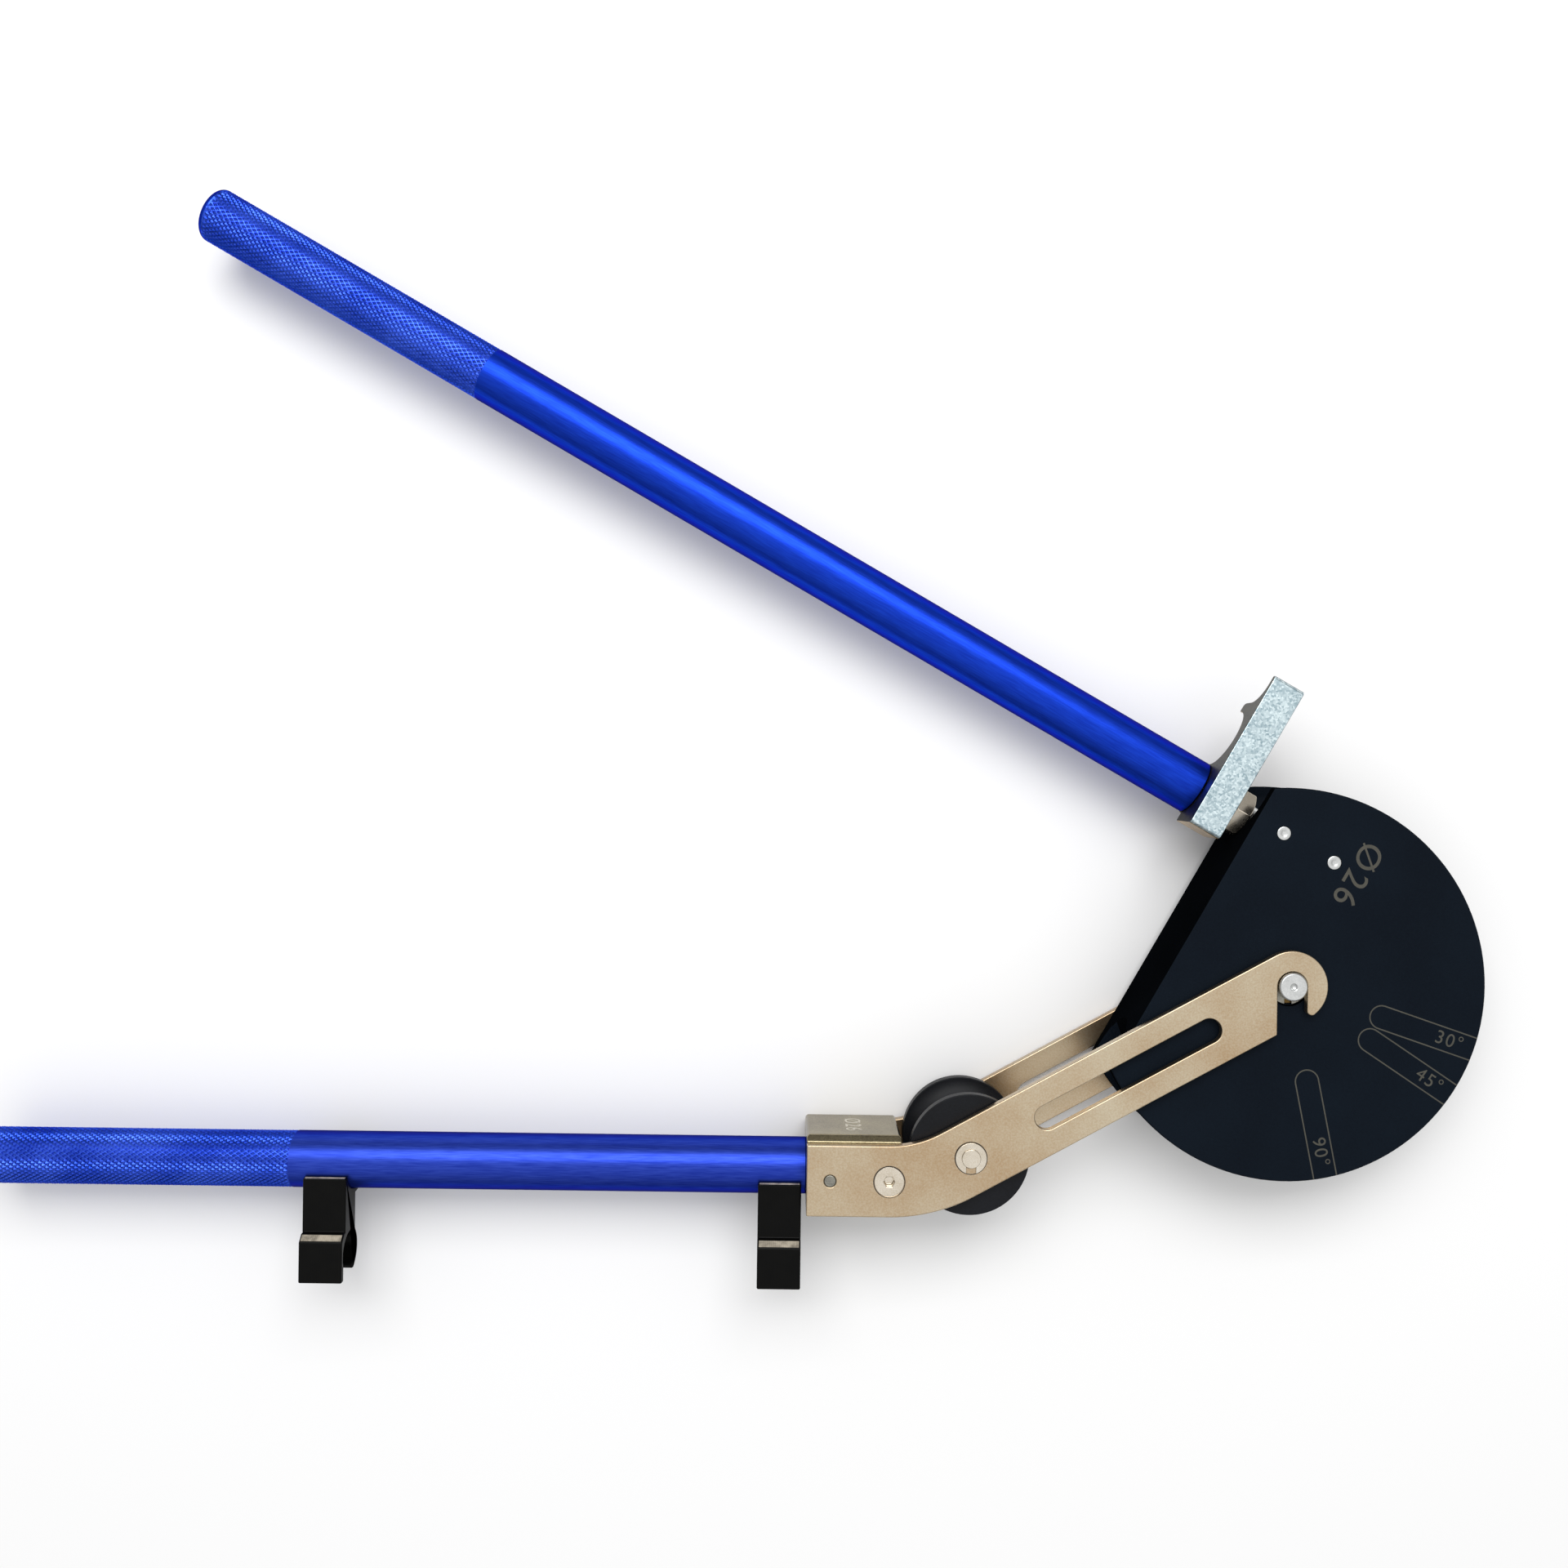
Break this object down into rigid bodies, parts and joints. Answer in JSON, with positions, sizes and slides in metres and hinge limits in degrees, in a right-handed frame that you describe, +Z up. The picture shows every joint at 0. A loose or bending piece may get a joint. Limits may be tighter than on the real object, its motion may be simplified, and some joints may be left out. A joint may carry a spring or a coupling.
{
  "type": "manual tube bender",
  "caption": "Hand lever bender for round tube: grooved D-shaped former with a long handle, swinging tube hook, and a slotted fork with a grooved roller on a second handle.",
  "frame": {"origin": "on the pivot axis, on the lower end face of the centre pin, which the tool lies on", "axes": "+Z up, along the pivot axis towards the marked face; +X along the lower handle from its grip to the fork; +Y towards the upper handle's side"},
  "size_m": [0.6485, 0.4699, 0.0486],
  "materials": {
    "black_anodised": "hard anodised, matt",
    "blue_anodised": "satin anodised",
    "plated_steel": "satin nickel plate",
    "zinc_steel": "zinc plate",
    "bright_steel": "ground",
    "spring_steel": "oiled",
    "bronze": "sintered",
    "natural_aluminium": "turned",
    "white_nylon": "moulded",
    "black_plastic": "moulded"
  },
  "bodies": {
    "former": {"former": "black_anodised", "pin_bushes": "bronze", "stud": "bright_steel", "stud_cross_pins": "bright_steel", "stud_nut": "plated_steel", "stud_washer": "plated_steel", "upper_handle_insert": "natural_aluminium", "upper_handle_tube": "blue_anodised", "upper_handle_end_plug": "blue_anodised"},
    "tube_hook": {"tube_hook": "zinc_steel", "hook_bush": "bronze"},
    "centre_pin": {"centre_pin": "bright_steel", "pin_retaining_rings": "spring_steel"},
    "lever": {"fork_plate_front": "plated_steel", "fork_plate_rear": "plated_steel", "socket_block": "plated_steel", "socket_screws": "bright_steel", "socket_dowel": "spring_steel", "roller_axle": "bright_steel", "axle_retaining_rings": "spring_steel", "thrust_washers": "white_nylon", "lower_handle_stud": "bright_steel", "lower_handle_insert": "natural_aluminium", "lower_handle_tube": "blue_anodised", "lower_handle_end_plug": "blue_anodised", "storage_clip_inner": "black_plastic", "storage_clip_outer": "black_plastic"},
    "roller": {"roller": "black_anodised", "roller_bush": "bronze"}
  },
  "joints": [
    {"name": "hook_swing", "type": "hinge", "parent": "former", "child": "tube_hook", "pos_m": [-0.0289, 0.0791, 0.0243], "axis": [0.8695, -0.4939, 0], "range_deg": [0, 100]},
    {"name": "bend_swing", "type": "hinge", "parent": "former", "child": "centre_pin", "pos_m": [0, 0, 0.0243], "axis": [0, 0, 1], "range_deg": [-20, 163]},
    {"name": "fork_unhook", "type": "slide", "parent": "centre_pin", "child": "lever", "axis": [0, 1, 0], "range_m": [0, 0.028]},
    {"name": "roller_spin", "type": "hinge", "parent": "lever", "child": "roller", "pos_m": [-0.13426, -0.07381, 0.0243], "axis": [0, 0, 1], "continuous": true}
  ]
}
